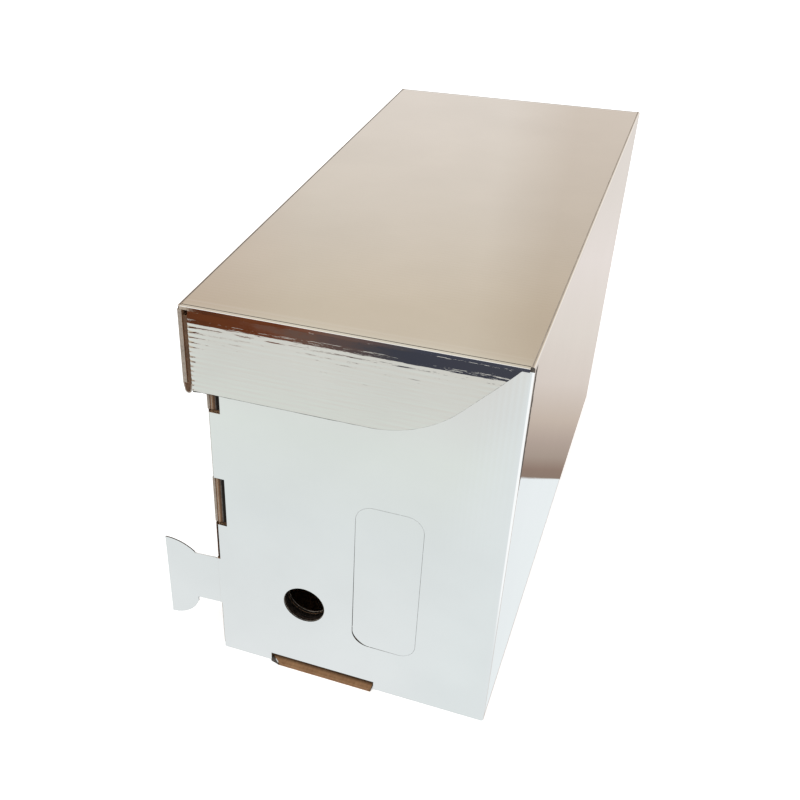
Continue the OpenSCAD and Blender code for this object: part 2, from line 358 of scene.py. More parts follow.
def plastic_material():
    made, tree, shader = new_material("grille_plastic")
    cloud = tree.noise(40, 3)
    tree.put(tree.ramp(cloud, [(0.3, grey(0.022)), (0.7, grey(0.035))]), shader["Base Color"])
    tree.put(tree.ramp(cloud, [(0.3, grey(0.42)), (0.7, grey(0.55))]), shader["Roughness"])
    tree.put(tree.bump(tree.noise(900, 2), 0.02 * MM), shader["Normal"])
    return made


# Painted shade on the foot tab: dark just inside the box and under the panel, lighter towards its end, and a little
# darker on the end itself
TAB_SHADE = ((0.232, 1), (0.236, 0.27), (0.2415, 0.27), (0.2432, 0.48), (0.2446, 0.86), (0.2458, 1.0),
             (0.2478, 1.0), (0.2494, 0.7))
# The materials that faces take, and their numbers
SKINS = [film_material("metallised_film", (0.86, 0.863, 0.858)),
         film_material("stretched_film", (0.80, 0.797, 0.765), 0.16 * MM)]
SKINS += [kraft_material(*looks) for looks in (
    ("kraft_liner", (0.30, 0.165, 0.085), (0.43, 0.255, 0.14), 0.06),
    # Painted shade: dark kraft for recesses, the inner leaves' backs, the notches and the skirt's lining
    ("shaded_kraft", (0.07, 0.038, 0.022), (0.15, 0.085, 0.05), 0.06),
    # Floor kraft, with the foot tab's painted shade
    ("floor_kraft", (0.27, 0.140, 0.068), (0.45, 0.255, 0.13), 0.10, TAB_SHADE),
    ("kraft_core", (0.20, 0.12, 0.066), (0.32, 0.20, 0.115), 0.08),
    # Worn board edges, also used as painted light: a highlight in the notches and a dark line on the hinge crease
    ("worn_edge", (0.22, 0.185, 0.15), (0.40, 0.345, 0.29), 0.08),
    # Pale film on crushed cut edges, its pale tone a painted highlight
    ("pressed_film", (0.62, 0.62, 0.61), (0.76, 0.76, 0.75), 0.02),
    # Painted dark: shade in gaps and on cut edges, and the dark reflections along folds
    ("cracked_edge", (0.045, 0.040, 0.036), (0.13, 0.115, 0.10), 0.08),
    # Painted black shade, in the entrance and in deep gaps
    ("soiled_edge", (0.006, 0.005, 0.004), (0.018, 0.013, 0.010), 0.08))]
FILM, DULL, KRAFT, DEEP, TAB, CORE, WORN_AND_PAINTED_LIGHT, PALE, PAINTED_DARK, PAINTED_BLACK = range(len(SKINS))


# Meshes

def add_object(name, data):
    made = bpy.data.objects.new(name, data)
    bpy.context.scene.collection.objects.link(made)
    return made


class Shell:
    """Points and faces of one piece, with a skin for each face."""

    def __init__(self):
        self.points, self.faces, self.skins = [], [], []

    def point(self, place):
        self.points.append(place)
        return len(self.points) - 1

    def face(self, corners, skin):
        kept = [c for i, c in enumerate(corners) if c != corners[i - 1]]
        if len(set(kept)) == len(kept) and len(kept) > 2:
            self.faces.append(kept)
            self.skins.append(skin)

    def piece(self, name, sharp=50):
        """The piece's object. Edges that turn by more than sharp degrees stay sharp."""
        mesh = bpy.data.meshes.new(name)
        mesh.from_pydata(self.points, [], self.faces)
        used = sorted(set(self.skins))
        for skin in used:
            mesh.materials.append(SKINS[skin])
        mesh.polygons.foreach_set("material_index", [used.index(skin) for skin in self.skins])
        shape = bmesh.new()
        shape.from_mesh(mesh)
        bmesh.ops.recalc_face_normals(shape, faces=shape.faces)
        shape.to_mesh(mesh)
        shape.free()
        mesh.shade_smooth()
        mesh.set_sharp_from_angle(angle=math.radians(sharp))
        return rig.slot(add_object(name, mesh), "film_board")


def outline(node, normal, least=None):
    """Loops round the outermost flat face of a node, or round all of it that faces within least of the normal."""
    shape = bmesh.new()
    shape.from_mesh(frame["nodes"][node].data)
    bmesh.ops.remove_doubles(shape, verts=shape.verts, dist=MERGE)
    reach = max(normal.dot(v.co) for v in shape.verts)
    sides = set()
    for face in shape.faces:
        outermost = all(reach - normal.dot(v.co) < MERGE for v in face.verts)
        if normal.dot(face.normal) > (least or 0.5) and (least or outermost):
            sides.update((loop.vert, loop.link_loop_next.vert) for loop in face.loops)
    after = {a: b for a, b in sides if (b, a) not in sides}
    loops = []
    while after:
        start = min(after, key=lambda v: v.index)
        here = after.pop(start)
        loop = [start.co.copy()]
        while here is not start:
            loop.append(here.co.copy())
            here = after.pop(here)
        loops.append(loop)
    shape.free()
    return loops


def cut_strips(loops):
    """Cuts an outline in (across the flutes, along them) into strips across the flutes.
    Gives the lines between strips and, for each strip, its spans as ((low, low), (high, high)) on its two lines."""
    edges = [(a, b) for loop in loops for a, b in zip(loop, loop[1:] + loop[:1])]
    corners = sorted({p[0] for loop in loops for p in loop})
    step = PITCH / LINES_PER_FLUTE
    grid = [k * step for k in range(math.ceil(corners[0] / step), math.floor(corners[-1] / step) + 1)]
    lines = []
    for place in sorted(corners + grid):
        if not lines or place - lines[-1] > MERGE:
            lines.append(place)
    strips = []
    for left, right in zip(lines, lines[1:]):
        crossing = []
        for (u0, v0), (u1, v1) in edges:
            if min(u0, u1) <= left + 2 * MERGE and max(u0, u1) >= right - 2 * MERGE and abs(u1 - u0) > MERGE:
                slope = (v1 - v0) / (u1 - u0)
                crossing.append((v0 + slope * (left - u0), v0 + slope * (right - u0)))
        crossing.sort(key=sum)
        strips.append(list(zip(crossing[::2], crossing[1::2])))
    return lines, strips


def add_sheet(shell, lines, strips, shares, place, low, high, skins):
    """Closed thin sheet over the strips, from height low(u, v) to high(u, v), divided along them at the shares.
    skins: above, below, edges; each may be a function of a face's corners."""
    def share(pair, f):
        (a0, a1), (b0, b1) = pair
        return round(a0 + (b0 - a0) * f, 8), round(a1 + (b1 - a1) * f, 8)

    cells = [[[share(pair, f) for f in shares] for pair in spans] for spans in strips]
    stops = [set() for _ in lines]
    for i, spans in enumerate(cells):
        for ladder in spans:
            stops[i].update(left for left, _ in ladder)
            stops[i + 1].update(right for _, right in ladder)
    stops = [sorted(s) for s in stops]
    made = {}

    def at(line, v, above):
        key = (line, v, above)
        if key not in made:
            height = (high if above else low)(lines[line], v)
            made[key] = shell.point(place(lines[line], v, height))
        return made[key]

    def between(line, a, b):
        return [v for v in stops[line] if a < v < b]

    def face(corners, side):
        skin = skins[side]
        shell.face(corners, skin([shell.points[c] for c in corners]) if callable(skin) else skin)

    for i, spans in enumerate(cells):
        for ladder in spans:
            for (a0, a1), (b0, b1) in zip(ladder, ladder[1:]):
                ring = [(i, a0), (i + 1, a1)] + [(i + 1, v) for v in between(i + 1, a1, b1)]
                ring += [(i + 1, b1), (i, b0)] + [(i, v) for v in reversed(between(i, a0, b0))]
                for above in (True, False):
                    face([at(line, v, above) for line, v in ring], 0 if above else 1)
            for v0, v1 in (ladder[0], ladder[-1]):
                face([at(i, v0, False), at(i + 1, v1, False), at(i + 1, v1, True), at(i, v0, True)], 2)

    def inside(i, side, v):
        if not 0 <= i < len(cells):
            return False
        return any(ladder[0][side] < v < ladder[-1][side] for ladder in cells[i])

    for line in range(len(lines)):
        for a, b in zip(stops[line], stops[line][1:]):
            middle = (a + b) / 2
            if inside(line - 1, 1, middle) != inside(line, 0, middle):
                face([at(line, a, False), at(line, b, False), at(line, b, True), at(line, a, True)], 2)


def ridge(u):
    """1 on the crests of the flutes that carry the outer liner, 0 half way between."""
    return 0.5 + 0.5 * math.cos(2 * math.pi * u / PITCH)


def smooth(value, low, high):
    """0 up to low, 1 from high on."""
    f = min(max((value - low) / (high - low), 0), 1)
    return f * f * (3 - 2 * f)


def equal_shares(count):
    return [k / count for k in range(count + 1)]


# Skins of a board: its film, the film's edges, the other edges, its core and its kraft back
Skins = namedtuple("Skins", "film rim edge core back", defaults=(FILM, KRAFT, KRAFT, CORE, KRAFT))


def board(node, body, loops, place, wash=0.02 * MM, shares=(0, 1), dent=None, press=None, skins=Skins()):
    """Corrugated board over an outline: film-faced outer liner, fluted core and kraft inner liner.
    wash is how far the film sinks between the flutes, dent(u, v) how far the outer liner is pressed in besides,
    press(u, v) the share of its thickness that crushed board keeps."""
    lines, strips = cut_strips(loops)
    middle, swing = BOARD / 2, (BOARD - 2 * LINER - MEDIUM) / 2 - TOUCH

    def outer(u, v):
        sink = wash(u, v) if callable(wash) else wash
        return BOARD - sink * (1 - ridge(u)) - (dent(u, v) if dent else 0)

    def core(u, v):
        return middle + swing * (2 * ridge(u) - 1)

    def crushed(u, v, w):
        return place(u, v, BOARD - (BOARD - w) * press(u, v))

    put = crushed if press else place
    within = shares if press else (0, 1)
    core_edge = skins.edge if callable(skins.edge) else skins.core
    shell = Shell()
    add_sheet(shell, lines, strips, shares, put, lambda u, v: outer(u, v) - LINER, outer,
              (skins.film, skins.core, skins.rim))
    add_sheet(shell, lines, strips, within, put, lambda u, v: core(u, v) - MEDIUM / 2,
              lambda u, v: core(u, v) + MEDIUM / 2, (skins.core, skins.core, core_edge))
    add_sheet(shell, lines, strips, within, put, lambda u, v: 0.0, lambda u, v: LINER,
              (skins.core, skins.back, skins.edge))
    made = shell.piece(node + "_board")
    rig.ride(made, body)
    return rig.replaces(made, node)


def flat_board(node, body, normal, across, reshape=None, **looks):
    """Board on a flat node: normal is its film side, across runs across its flutes. reshape moves its outline."""
    along = normal.cross(across)
    reach = max(normal.dot(v.co) for v in frame["nodes"][node].data.vertices) - BOARD
    loops = [[(across.dot(p), along.dot(p)) for p in loop] for loop in outline(node, normal)]
    if reshape:
        loops = [[reshape(*p) for p in loop] for loop in loops]
    return board(node, body, loops, lambda u, v, w: across * u + along * v + normal * (reach + w), **looks)


def resample(path, step):
    """Points along a path, about step apart."""
    made = []
    for a, b in zip(path, path[1:]):
        count = max(1, round((b - a).length / step))
        made += [a.lerp(b, k / count) for k in range(count)]
    return made + [path[-1]]


def free_edge(loop, held):
    """The run of a loop's sides that aren't held."""
    sides = list(zip(loop, loop[1:] + loop[:1]))
    first = next(i for i in range(len(sides)) if held(*sides[i - 1]) and not held(*sides[i]))
    path = [sides[first][0]]
    for a, b in sides[first:] + sides[:first]:
        if held(a, b):
            break
        path.append(b)
    return path


def bead(name, path, radius, up, skin, closed=False, sides=6):
    """Thin tube along a path, of radius(place), sunk by its radius below the face that up stands on."""
    shell = Shell()
    count, rings = len(path), []
    turns = [2 * math.pi * j / sides for j in range(sides)]
    for k, p in enumerate(path):
        before, after = (k - 1, (k + 1) % count) if closed else (max(k - 1, 0), min(k + 1, count - 1))
        ahead = (path[after] - path[before]).normalized()
        side = ahead.cross(up).normalized()
        r = radius(p)
        rings.append([shell.point(p - up * r + (side * math.cos(a) + up * math.sin(a)) * r) for a in turns])
    for a, b in zip(rings, rings[1:] + (rings[:1] if closed else [])):
        for j in range(sides):
            n = (j + 1) % sides
            shell.face([a[j], a[n], b[n], b[j]], skin)
    if not closed:
        shell.face(rings[0], skin)
        shell.face(rings[-1], skin)
    return shell.piece(name, sharp=180)


def ragged(least, most, grain):
    """Radius that wanders between least and most over lengths of about grain."""
    def radius(p):
        wave = 0.5 + 0.6 * field.noise(p / grain) + 0.35 * field.noise(p * 2.7 / grain)
        return least + (most - least) * min(max(wave, 0), 1)
    return radius


ARC_STEPS = 10


def arc(centre, start, end, steps=ARC_STEPS):
    """Points from start to end round a centre, in a plane, the shorter way."""
    cx, cy = centre
    first, last = (math.atan2(y - cy, x - cx) for x, y in (start, end))
    turn = (last - first + math.pi) % (2 * math.pi) - math.pi
    r = math.hypot(start[0] - cx, start[1] - cy)
    angles = [first + turn * k / steps for k in range(steps + 1)]
    return [(cx + r * math.cos(a), cy + r * math.sin(a)) for a in angles]


def half_round(centre, r, steps=6):
    """Lower half of a circle, from left to right, in twice the steps."""
    (cx, cy), foot = centre, (centre[0], centre[1] - r)
    return arc(centre, (cx - r, cy), foot, steps) + arc(centre, foot, (cx + r, cy), steps)[1:]


def backed(section, backs=3, cracks=None):
    """Skins of a section's sides: film, but kraft on the last ones, its backs, and the painted dark skins that cracks
    states.
    """
    skins = [FILM] * (len(section) - backs) + [KRAFT] * backs
    for side, skin in (cracks or {}).items():
        skins[side] = skin
    return skins


def prism(name, section, skins, place, low, high, caps=KRAFT):
    """Solid of a section in a plane, run from low to high. skins: one for each side, or one for all."""
    shell = Shell()
    ends = [[shell.point(place(a, b, t)) for a, b in section] for t in (low, high)]
    for k in range(len(section)):
        n = (k + 1) % len(section)
        shell.face([ends[0][k], ends[0][n], ends[1][n], ends[1][k]], skins if isinstance(skins, int) else skins[k])
    for end in ends:
        shell.face(end, caps)
    return shell.piece(name)


def along_x(a, b, t):
    return Vector((t, a, b))


def along_y(a, b, t):
    return Vector((a, t, b))


def along_z(a, b, t):
    return Vector((a, b, t))


def fold_section(corner, inward, r=FOLD_R):
    """Section of a fold whose round outer corner lies at corner, with the board inward of it on both axes."""
    (cx, cy), (sx, sy) = corner, inward
    round_part = arc((cx + sx * r, cy + sy * r), (cx + sx * r, cy), (cx, cy + sy * r))
    return [(cx + sx * BOARD, cy)] + round_part + [(cx, cy + sy * BOARD), (cx + sx * BOARD, cy + sy * BOARD)]


def corner_ball(name, centre, signs, r, steps=6):
    """Eighth of a ball where three folds meet."""
    shell = Shell()
    sx, sy, sz = signs
    grid = {}

    def at(i, j):
        key = (i, 0 if i == steps else j)
        if key not in grid:
            tilt, turn = (math.pi / 2 * k / steps for k in key)
            flat = r * math.cos(tilt)
            grid[key] = shell.point(centre + Vector(
                (sx * flat * math.cos(turn), sy * flat * math.sin(turn), sz * r * math.sin(tilt))))
        return grid[key]

    middle = shell.point(centre)
    for i in range(steps):
        for j in range(steps):
            shell.face([at(i, j), at(i, j + 1), at(i + 1, j + 1), at(i + 1, j)], FILM)
        shell.face([middle, at(i, 0), at(i + 1, 0)], KRAFT)
        shell.face([middle, at(i, steps), at(i + 1, steps)], KRAFT)
    for j in range(steps):
        shell.face([middle, at(0, j), at(0, j + 1)], KRAFT)
    return shell.piece(name)


# Boards of the carcass

ENTRANCE = next(m for m in frame["record"]["mounts"] if m["name"] == "entrance")
HOLE = Vector(ENTRANCE["pos_m"])
HOLE_R = ENTRANCE["dims"]["r_mm"] * MM
# How far round the entrance the boards' cores are painted black as shade
BLACK_SHADE_REACH = 6 * MM
# The floor's tab in the foot notch, and the play and height within which the notch's edges lie
FOOT_X, FOOT_W = -22 * MM, 86 * MM
FOOT_PLAY, FOOT_HIGH = 2 * MM, 10 * MM
# The painted dark reflection along the right wall's front fold: width, foot, how far it fades below and above that,
# grain of its wavering edge
WALL_DARK_LINE, WALL_DARK_LOW = 5.6 * MM, 231 * MM
DARK_BELOW, DARK_ABOVE, WAVER_GRAIN = 28 * MM, 14 * MM, 6 * MM
# The right wall's film is one length up to this share of its height, and cut short above for the painted dark
# reflection
WALL_PLAIN = 0.65
# The front panel's left edge: its inset, and the run from the tongue to the lower notch that is set back further
PANEL_INSET, BARE, BARE_LOW, BARE_HIGH = 2 * MM, 0.9 * MM, 95.4 * MM, 129.75 * MM
BARE_REACH = 18 * MM
# How much further back than their solids the left wall's tabs stand, as in the photo
TAB_BACK = 3.3 * MM


def at_hole(points, margin=MM):
    """Whether a face of the front end comes within a margin of the entrance."""
    away = [max(min(p[k] for p in points) - HOLE[k], HOLE[k] - max(p[k] for p in points), 0) for k in (0, 2)]
    return points[0].y < 0 and math.hypot(*away) < HOLE_R + margin


def at_vent(points):
    margin = Vector((MM, MM, MM))
    low, high = KNOCKOUT[0] - margin, KNOCKOUT[1] + margin
    return all(low.x < p.x < high.x and low.z < p.z < high.z and p.y < 0 for p in points)


def at_foot(points):
    return all(abs(p.x - FOOT_X) < FOOT_W / 2 + FOOT_PLAY and p.z < FOOT_HIGH for p in points)


def end_edge(points):
    """Skin of an end board's cut edges: painted black shade round the entrance and on the edge at the top of the
    set-back run, painted dark shade round the vent and the foot notch.
    """
    if at_hole(points):
        return PAINTED_BLACK
    if at_vent(points) or at_foot(points):
        return PAINTED_DARK
    if all(abs(p.z - BARE_HIGH) < 2 * NEAR for p in points):
        return PAINTED_BLACK
    return WORN_AND_PAINTED_LIGHT if max(p.x for p in points) < FRONT[0].x + MM else KRAFT


# Cores round the entrance are painted black as shade.
def end_core(points):
    return PAINTED_BLACK if at_hole(points, BLACK_SHADE_REACH) else CORE


def wall_film(points):
    """Film of the right wall, with a painted dark reflection along its front fold as far down as the photo shows."""
    z = sum(p.z for p in points) / len(points)
    wavering = 0.9 + 0.35 * field.noise((z / WAVER_GRAIN, 0.3, 0.8))
    reach = WALL_DARK_LINE * wavering * smooth(z, WALL_DARK_LOW - DARK_BELOW, WALL_DARK_LOW + DARK_ABOVE)
    return PAINTED_DARK if max(p.y for p in points) < BOARD + reach - END_Y else FILM


def bare_edge(x, z):
    """The front panel's outline, its free edge set back between the tongue and the notch above it."""
    bare = abs(x - LEFT[0].x - PANEL_INSET) < NEAR and abs(z - (BARE_LOW + BARE_HIGH) / 2) < BARE_REACH
    return (x + BARE if bare else x), z


def tabs_back(y, z):
    """The left wall's outline, with shorter tabs."""
    return (y - math.copysign(TAB_BACK, y) if abs(y) > END_Y else y), z


END = Skins(rim=end_edge, edge=end_edge, core=end_core)
flat_board("front_panel", "carcass", -Y, X, reshape=bare_edge, wash=0.013 * MM, skins=END)
flat_board("rear_panel", "carcass", Y, X)
flat_board("right_wall", "carcass", X, Y, skins=Skins(film=wall_film),
           shares=[0] + [WALL_PLAIN + (1 - WALL_PLAIN) * f for f in equal_shares(44)])
flat_board("left_wall", "carcass", -X, Y, reshape=tabs_back, skins=Skins(rim=WORN_AND_PAINTED_LIGHT))
# The floor's kraft back carries the foot tab's painted shade.
flat_board("floor_panel", "carcass", -Z, Y, skins=Skins(back=TAB))
for side, end in ENDS:
    outside = Y * side
    # The inner leaves' kraft backs are painted in shade.
    flat_board(end + "_inner_leaf", "carcass", -outside, Z, skins=END._replace(back=DEEP))
    flat_board(end + "_corner_flap", "carcass", outside, X, skins=END)
    flat_board(end + "_rollover_leaf", "carcass", -outside, Z, skins=END)
    (left, near, low), (right, far, top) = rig.box(end + "_frame_rest")
    section = [(near, low)] + arc((near + FOLD_R, top - FOLD_R), (near, top - FOLD_R), (near + FOLD_R, top))
    section += arc((far - FOLD_R, top - FOLD_R), (far - FOLD_R, top), (far, top - FOLD_R)) + [(far, low)]
    fold = prism(end + "_rest_fold", section, backed(section, 1), along_x, left, right)
    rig.replaces(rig.ride(fold, "carcass"), end + "_frame_rest")

# What shows in the notches: the tabs' crushed edges and the fold beside them, with a painted highlight on the lit
# edges and painted shade, darker the deeper it lies.
# Each row is a place across, how far back it lies (mm) and the skin from there to the next
NOTCH = ((0.02, 0, WORN_AND_PAINTED_LIGHT), (1.9, 0.1, DEEP), (2.6, 0.4, PAINTED_BLACK), (3.1, 0, WORN_AND_PAINTED_LIGHT), (3.6, 0.1, CORE),
         (4.4, 0.3, DEEP), (5.8, 0.5, PAINTED_DARK), (6.5, 0.7, PAINTED_BLACK), (9.6, 0.9, PAINTED_BLACK))
NOTCH_BACK = 0.95
tab_face = -LEFT[0].y - TAB_BACK + NEAR
tab_z = sorted(p.z for loop in outline("left_wall", -X) for p in loop if p.y < -END_Y)
for side, end in ENDS:
    section = [(LEFT[0].x + across * MM, side * (tab_face - back * MM)) for across, back, _ in NOTCH]
    section += [(LEFT[0].x + row[0] * MM, side * (tab_face - NOTCH_BACK * MM)) for row in (NOTCH[-1], NOTCH[0])]
    skins = [skin for _, _, skin in NOTCH] + [KRAFT, KRAFT]
    for part, k in (("lower", 0), ("upper", 2)):
        fold = prism(f"{end}_{part}_notch_fold", section, skins, along_z, tab_z[k], tab_z[k + 1], CORE)
        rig.ride(fold, "carcass")

# Painted shade in the gap along the set-back edge, as a dark bead: how far inside the left wall's face and behind the
# panel's it lies
GAP_SHADE_IN, GAP_SHADE_BEHIND = 0.75 * MM, 1.6 * MM
path = [Vector((LEFT[0].x + GAP_SHADE_IN, FRONT[0].y + GAP_SHADE_BEHIND, BARE_LOW + f * (BARE_HIGH - BARE_LOW)))
        for f in equal_shares(24)]
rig.ride(bead("front_bare_edge", path, ragged(0.4 * MM, 0.7 * MM, 5 * MM), -Y, DEEP), "carcass")

# Torn film round the entrance, near both ends of the hole
BURR_DEPTHS, BURR_POINTS, BURR_FLAT = (1.1 * MM, 11.7 * MM), 96, 0.001
turns = [2 * math.pi * k / BURR_POINTS for k in range(BURR_POINTS)]
for k, depth in enumerate(BURR_DEPTHS):
    ring = [Vector((HOLE.x + HOLE_R * math.cos(a), FRONT[0].y + depth, HOLE.z + HOLE_R * math.sin(a))) for a in turns]
    burr = bead(f"entrance_burr_{k}", ring, ragged(0.02 * MM, 0.5 * MM, 4 * MM), Y * BURR_FLAT, WORN_AND_PAINTED_LIGHT, closed=True)
    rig.ride(burr, "carcass")

# Pressed end of the floor's tab, in the tab's painted shade, and on its left chamfer the pale film and a dark corner
# of painted shade
PRESSED_TAB, TAB_LEFT_IN, TAB_RIGHT_IN = 0.6 * MM, 8 * MM, 2 * MM
CHAMFER, CHAMFER_IN, DARK_CORNER_OUT, DARK_CORNER_UP = 6 * MM, 1.2 * MM, 0.9 * MM, 2 * MM
tab_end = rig.box("floor_panel")[0].y
tab_left, tab_right = FOOT_X - FOOT_W / 2, FOOT_X + FOOT_W / 2
for side, end in ENDS:
    out, back = -side * (tab_end - PROUD), -side * (tab_end + PRESSED_TAB)
    section = [(out, LINER), (back, LINER), (back, BOARD - LINER), (out, BOARD - LINER)]
    close = prism(end + "_foot_tab_edge", section, TAB, along_x, tab_left + TAB_LEFT_IN, tab_right - TAB_RIGHT_IN)
    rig.ride(close, "carcass")
corner = Vector((tab_left + CHAMFER_IN, tab_end + CHAMFER, BOARD))
path = [corner + Vector((f * CHAMFER, -f * CHAMFER, 0.25 * MM)) for f in (0.45, 0.7, 0.97)]
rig.ride(bead("foot_tab_film", path, lambda p: 0.45 * MM, Z, PALE), "carcass")
dark_corner = [(corner.x - DARK_CORNER_OUT, corner.y), (corner.x + CHAMFER, tab_end), (corner.x - DARK_CORNER_OUT, tab_end + DARK_CORNER_UP)]
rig.ride(prism("foot_tab_corner", dark_corner, PAINTED_DARK, along_z, 0.3 * MM, 2.3 * MM, PAINTED_DARK), "carcass")

# Folds of the carcass. Those of the right wall's ends are painted dark above, as a dark reflection, on the last side
# of the round and after it
CORNER_R, FOOT_FOLD_R = 1.9 * MM, 1.2 * MM
CORNER_DARK_SIDES = dict.fromkeys((ARC_STEPS, ARC_STEPS + 1), PAINTED_DARK)
wall_x = RIGHT[1].x
for side, end in ENDS:
    section = fold_section((wall_x, side * END_Y), (-1, -side), CORNER_R)
    for part, low, high, cracks in (("lower", 0, WALL_DARK_LOW, None),
                                    ("upper", WALL_DARK_LOW, RIGHT[1].z, CORNER_DARK_SIDES)):
        skins = backed(section, cracks=cracks)
        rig.ride(prism(f"{end}_{part}_corner_fold", section, skins, along_z, low, high, PAINTED_DARK), "carcass")
left_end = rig.box("front_inner_leaf")[0].y
for name, section, low in (("right_foot_fold", fold_section((wall_x, 0), (-1, 1), FOOT_FOLD_R), FOLD_R - END_Y),
                           ("left_foot_fold", fold_section((LEFT[0].x, 0), (1, 1)), left_end)):
    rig.ride(prism(name, section, backed(section), along_y, low, -low), "carcass")


# Knock-out, close in its opening but loose at its lower left corner, with the nicks that held it

CLOSE, LOOSE, LOOSE_REACH = 0.25 * MM, 1.25 * MM, 11 * MM
# The side that each nick is on, in X and Z, and its place along that side
NICKS = ((-1, 0, 62 * MM), (0, -1, 16.5 * MM), (1, 0, 150 * MM), (0, 1, 34 * MM))
NICK_R, NICK_REACH = 0.4 * MM, (-0.3, 0, 0.42)


def loosened(x, z):
    """The knock-out's outline, a little larger than its solid and pulled in at the loose corner."""
    middle, half = (KNOCKOUT[0] + KNOCKOUT[1]) / 2, (KNOCKOUT[1] - KNOCKOUT[0]) / 2
    away = math.hypot(x - KNOCKOUT[0].x, z - KNOCKOUT[0].z)
    pull = LOOSE * math.exp(-(away / LOOSE_REACH) ** 2)
    return x + (x - middle.x) / half.x * CLOSE + pull, z + (z - middle.z) / half.z * CLOSE + pull


# Its cut edges are painted dark, as shade in the gap round it.
flat_board("vent_knockout", "knockout", -Y, X, reshape=loosened, skins=Skins(rim=PAINTED_DARK))
for k, (sx, sz, spot) in enumerate(NICKS):
    edge_x = KNOCKOUT[0 if sx < 0 else 1].x if sx else spot
    edge_z = KNOCKOUT[0 if sz < 0 else 1].z if sz else spot
    way = Vector((sx, 0, sz))
    path = [Vector((edge_x, FRONT[0].y, edge_z)) + way * shift * MM for shift in NICK_REACH]
    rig.ride(bead(f"vent_nick_{k}", path, lambda p: NICK_R, -Y, PALE), "knockout")


# Lid, whose film dips to a score behind its front and rear edges

SCORE_IN, SCORE_DEEP, SCORE_WIDE, EDGE_DROP = 6.6 * MM, 0.09 * MM, 0.45 * MM, 0.25 * MM


def lid_dip(u, v):
    inside = LID[1].y - FOLD_R - abs(u)
    slope = max(0, 1 - inside / SCORE_IN)
    return EDGE_DROP * slope ** 2 + SCORE_DEEP * math.exp(-((inside - SCORE_IN) / SCORE_WIDE) ** 2)


flat_board("lid_top", "lid", Z, Y, wash=0.006 * MM, dent=lid_dip)


# End flaps of the lid

# Where the flap's rake begins, and the least that its bowed face still faces outward
RAKE_X, BOW_FACING = 28 * MM, 0.9
# How far in from the left end the film is crushed and slack, and the grain of loose and slack film
CRUSH_REACH, SLACK_REACH, LOOSE_GRAIN, SLACK_GRAIN = 2.8 * MM, 70 * MM, 26 * MM, 8 * MM


def flap_board(node, body, side):
    """End flap: upright below, bowed back to the lid's edge above. Its outline is unrolled, so that the flutes
    and the film follow the bow."""
    face_y = -FLAP[0].y
    centre_y = face_y - BOW_R

    def unroll(z):
        return z if z < BOW_Z else BOW_Z + BOW_R * math.asin((z - BOW_Z) / BOW_R)

    def place(u, v, w):
        if u < BOW_Z:
            return Vector((v, side * (face_y - BOARD + w), u))
        tilt = (u - BOW_Z) / BOW_R
        r = BOW_R - BOARD + w
        return Vector((v, side * (centre_y + r * math.cos(tilt)), BOW_Z + r * math.sin(tilt)))

    def wash(u, v):
        """In mm and flute by flute: crushed at the left end, loose all over and slack at the foot of the bow."""
        flute = math.floor(u / PITCH)
        bite = (0.40 + 0.25 * field.noise((flute * 0.73, 0.4, 0.1))) * (1 - smooth(u, BOW_Z, BOW_Z + 6 * MM))
        inward = v - FLAP[0].x
        crushed = bite * math.exp(-inward / CRUSH_REACH)
        loose = max(0.01, 0.03 + 0.05 * field.noise((v / LOOSE_GRAIN, flute * 0.61, 0.7)))
        slack = 0.16 * smooth(u, BOW_Z - 13 * MM, BOW_Z) * (1 - smooth(u, BOW_Z + 2 * MM, BOW_Z + 7 * MM))
        slack *= 0.35 + 0.65 * math.exp(-inward / SLACK_REACH)
        slack *= max(0, 0.55 + 0.9 * field.noise((v / SLACK_GRAIN, flute * 0.61, 1.7)))
        return (crushed + loose + slack) * MM

    # Cut edges: pale film with a painted highlight along the rake, painted dark shade elsewhere.
    def rim(points):
        return PALE if min(p.x for p in points) > RAKE_X else PAINTED_DARK

    def held(a, b):
        return all(p.x < FLAP[0].x + MM for p in (a, b)) or all(p.z > FLAP[1].z - MM for p in (a, b))

    loops = outline(node, Y * side, BOW_FACING)
    flat = [[(unroll(p.z), p.x) for p in loop] for loop in loops]
    shares = [f ** 1.7 for f in equal_shares(90)]
    board(node, body, flat, place, wash=wash, shares=shares, skins=Skins(film=DULL, rim=rim))
    path = resample(free_edge(loops[0], held), 1.2 * MM)
    rough = ragged(0.35 * MM, 0.95 * MM, 7 * MM)
    # The lip: a thin black bead along the free edge, painted shade in the gap under it, thinning towards the rake.
    lip = bead(body + "_lip", path, lambda p: rough(p) * (1 - 0.9 * smooth(p.x, 0, RAKE_X)), Y * side, PAINTED_BLACK)
    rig.ride(lip, body)


# The torn wedge that sags from the front flap's lower left corner, painted dark as shade: its length, head, foot and
# depths
SAG_LONG, SAG_HEAD, SAG_FOOT, SAG_DEPTHS = 14 * MM, 0.3 * MM, 1.5 * MM, (0.6 * MM, 2.2 * MM)
flap_board("lid_front_flap", "front_flap", -1)
flap_left, flap_face, flap_foot = FLAP[0]
sag = [(flap_left + NEAR, flap_foot + SAG_HEAD), (flap_left + SAG_LONG, flap_foot + SAG_HEAD),
       (flap_left + NEAR, flap_foot - SAG_FOOT)]
near, far = (flap_face + depth for depth in SAG_DEPTHS)
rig.ride(prism("front_flap_sag", sag, PAINTED_DARK, along_y, near, far, PAINTED_DARK), "front_flap")
flap_board("lid_rear_flap", "rear_flap", 1)


# Skirt of the lid: two plies, the round fold at their foot and their pressed ends

FOOT_R, PRESSED, RIM = 2.55 * MM, 0.5 * MM, 0.9 * MM
flat_board("lid_skirt", "skirt", -X, Y, skins=Skins(rim=WORN_AND_PAINTED_LIGHT, core=WORN_AND_PAINTED_LIGHT))
